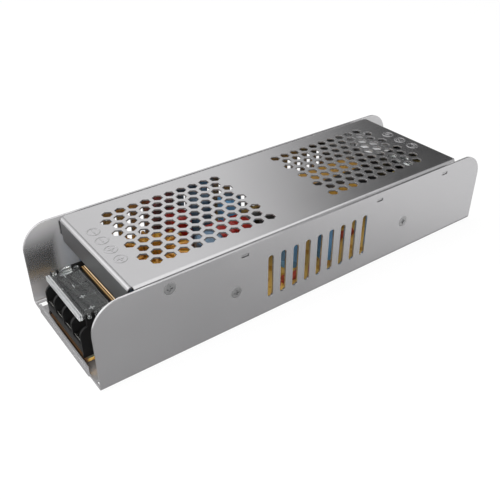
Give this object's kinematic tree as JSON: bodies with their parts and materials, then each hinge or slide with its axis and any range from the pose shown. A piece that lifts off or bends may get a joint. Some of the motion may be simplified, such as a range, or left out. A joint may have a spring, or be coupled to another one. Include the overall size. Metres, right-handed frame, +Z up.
{
  "type": "power supply",
  "caption": "Slim switch-mode power supply: folded metal channel with a hex-perforated cover, slotted side vents, a populated board and screw terminals under clear flip covers at both ends.",
  "frame": {"origin": "on the floor under the middle of the case (bottom centre of the bounding box)", "axes": "+X along the length towards the mains terminals, +Z up from the base, +Y to the far plate with the outer vent groups"},
  "size_m": [0.2278, 0.071, 0.0419],
  "materials": {
    "case_sheet": "satin",
    "cover_sheet": "satin",
    "dark_steel": "satin",
    "bright_steel": "satin",
    "spacer_brass": "satin",
    "amber_film": "gloss",
    "board": "matte",
    "black_moulding": "satin",
    "clear_plastic": "gloss",
    "tinned_contact": "satin",
    "fibre_card": "matte",
    "ring_core": "matte",
    "copper_wire": "gloss",
    "can_aluminium": "satin",
    "blue_sleeve": "gloss",
    "black_sleeve": "gloss",
    "red_epoxy": "gloss",
    "ferrite": "matte",
    "amber_tape": "gloss",
    "black_resin": "matte",
    "grey_pad": "matte",
    "yellow_box": "matte",
    "glass_tube": "gloss",
    "blue_disc": "matte",
    "white_resin": "matte",
    "red_resistor": "matte"
  },
  "bodies": {
    "case": {"chassis": "case_sheet", "top_cover": "cover_sheet", "cover_screws": "dark_steel", "insulating_film": "amber_film", "circuit_board": "board", "board_standoffs": "spacer_brass", "board_screws": "bright_steel", "output_terminal_block": "black_moulding", "output_contacts": "tinned_contact", "input_terminal_block": "black_moulding", "input_contacts": "tinned_contact", "barrier_card": "fibre_card", "output_choke_core": "ring_core", "output_choke_winding": "copper_wire", "output_capacitor_cans": "can_aluminium", "output_capacitor_sleeves": "blue_sleeve", "film_capacitors": "red_epoxy", "auxiliary_capacitor_cans": "can_aluminium", "auxiliary_capacitor_sleeves": "blue_sleeve", "main_transformer_core": "ferrite", "main_transformer_winding": "amber_tape", "main_transformer_tape": "amber_tape", "main_transformer_bobbin": "black_resin", "drive_transformer_core": "ferrite", "drive_transformer_winding": "amber_tape", "rectifier_packages": "black_resin", "switch_packages": "black_resin", "thermal_pads": "grey_pad", "clamp_bars": "can_aluminium", "clamp_screws": "dark_steel", "bulk_capacitor_can": "can_aluminium", "bulk_capacitor_sleeve": "black_sleeve", "line_choke_core": "ferrite", "line_choke_windings": "copper_wire", "safety_capacitor": "yellow_box", "bridge_rectifier": "black_resin", "inrush_thermistor": "black_resin", "fuse_tube": "glass_tube", "fuse_caps": "bright_steel", "disc_capacitors": "blue_disc", "controller_chip": "black_resin", "optocouplers": "white_resin", "power_resistors": "red_resistor"},
    "output_cover": {"output_terminal_cover": "clear_plastic"},
    "output_clamp_1": {"output_clamp_1": "bright_steel"},
    "output_screw_1": {"output_screw_1": "bright_steel"},
    "output_clamp_2": {"output_clamp_2": "bright_steel"},
    "output_screw_2": {"output_screw_2": "bright_steel"},
    "output_clamp_3": {"output_clamp_3": "bright_steel"},
    "output_screw_3": {"output_screw_3": "bright_steel"},
    "output_clamp_4": {"output_clamp_4": "bright_steel"},
    "output_screw_4": {"output_screw_4": "bright_steel"},
    "input_cover": {"input_terminal_cover": "clear_plastic"},
    "input_clamp_1": {"input_clamp_1": "bright_steel"},
    "input_screw_1": {"input_screw_1": "bright_steel"},
    "input_clamp_2": {"input_clamp_2": "bright_steel"},
    "input_screw_2": {"input_screw_2": "bright_steel"},
    "input_clamp_3": {"input_clamp_3": "bright_steel"},
    "input_screw_3": {"input_screw_3": "bright_steel"}
  },
  "joints": [
    {"name": "output_cover_hinge", "type": "hinge", "parent": "case", "child": "output_cover", "pos_m": [-0.097, -0.0012, 0.0251], "axis": [0, 1, 0], "range_deg": [0, 85]},
    {"name": "output_clamp_1_lift", "type": "slide", "parent": "case", "child": "output_clamp_1", "axis": [0, 0, 1], "range_m": [0, 0.0024]},
    {"name": "output_screw_1_turn", "type": "hinge", "parent": "output_clamp_1", "child": "output_screw_1", "pos_m": [-0.1039, -0.01455, 0.0135], "axis": [0, 0, 1], "range_deg": [0, 1440]},
    {"name": "output_clamp_2_lift", "type": "slide", "parent": "case", "child": "output_clamp_2", "axis": [0, 0, 1], "range_m": [0, 0.0024]},
    {"name": "output_screw_2_turn", "type": "hinge", "parent": "output_clamp_2", "child": "output_screw_2", "pos_m": [-0.1039, -0.00565, 0.0135], "axis": [0, 0, 1], "range_deg": [0, 1440]},
    {"name": "output_clamp_3_lift", "type": "slide", "parent": "case", "child": "output_clamp_3", "axis": [0, 0, 1], "range_m": [0, 0.0024]},
    {"name": "output_screw_3_turn", "type": "hinge", "parent": "output_clamp_3", "child": "output_screw_3", "pos_m": [-0.1039, 0.00325, 0.0135], "axis": [0, 0, 1], "range_deg": [0, 1440]},
    {"name": "output_clamp_4_lift", "type": "slide", "parent": "case", "child": "output_clamp_4", "axis": [0, 0, 1], "range_m": [0, 0.0024]},
    {"name": "output_screw_4_turn", "type": "hinge", "parent": "output_clamp_4", "child": "output_screw_4", "pos_m": [-0.1039, 0.01215, 0.0135], "axis": [0, 0, 1], "range_deg": [0, 1440]},
    {"name": "input_cover_hinge", "type": "hinge", "parent": "case", "child": "input_cover", "pos_m": [0.097, 0, 0.0251], "axis": [0, -1, 0], "range_deg": [0, 85]},
    {"name": "input_clamp_1_lift", "type": "slide", "parent": "case", "child": "input_clamp_1", "axis": [0, 0, 1], "range_m": [0, 0.0024]},
    {"name": "input_screw_1_turn", "type": "hinge", "parent": "input_clamp_1", "child": "input_screw_1", "pos_m": [0.1039, 0.0089, 0.0135], "axis": [0, 0, 1], "range_deg": [0, 1440]},
    {"name": "input_clamp_2_lift", "type": "slide", "parent": "case", "child": "input_clamp_2", "axis": [0, 0, 1], "range_m": [0, 0.0024]},
    {"name": "input_screw_2_turn", "type": "hinge", "parent": "input_clamp_2", "child": "input_screw_2", "pos_m": [0.1039, 0, 0.0135], "axis": [0, 0, 1], "range_deg": [0, 1440]},
    {"name": "input_clamp_3_lift", "type": "slide", "parent": "case", "child": "input_clamp_3", "axis": [0, 0, 1], "range_m": [0, 0.0024]},
    {"name": "input_screw_3_turn", "type": "hinge", "parent": "input_clamp_3", "child": "input_screw_3", "pos_m": [0.1039, -0.0089, 0.0135], "axis": [0, 0, 1], "range_deg": [0, 1440]}
  ],
  "couplings": [
    {"joint": "output_screw_1_turn", "follows": "output_clamp_1_lift", "rad_per_m": 10472},
    {"joint": "output_screw_2_turn", "follows": "output_clamp_2_lift", "rad_per_m": 10472},
    {"joint": "output_screw_3_turn", "follows": "output_clamp_3_lift", "rad_per_m": 10472},
    {"joint": "output_screw_4_turn", "follows": "output_clamp_4_lift", "rad_per_m": 10472},
    {"joint": "input_screw_1_turn", "follows": "input_clamp_1_lift", "rad_per_m": 10472},
    {"joint": "input_screw_2_turn", "follows": "input_clamp_2_lift", "rad_per_m": 10472},
    {"joint": "input_screw_3_turn", "follows": "input_clamp_3_lift", "rad_per_m": 10472}
  ]
}
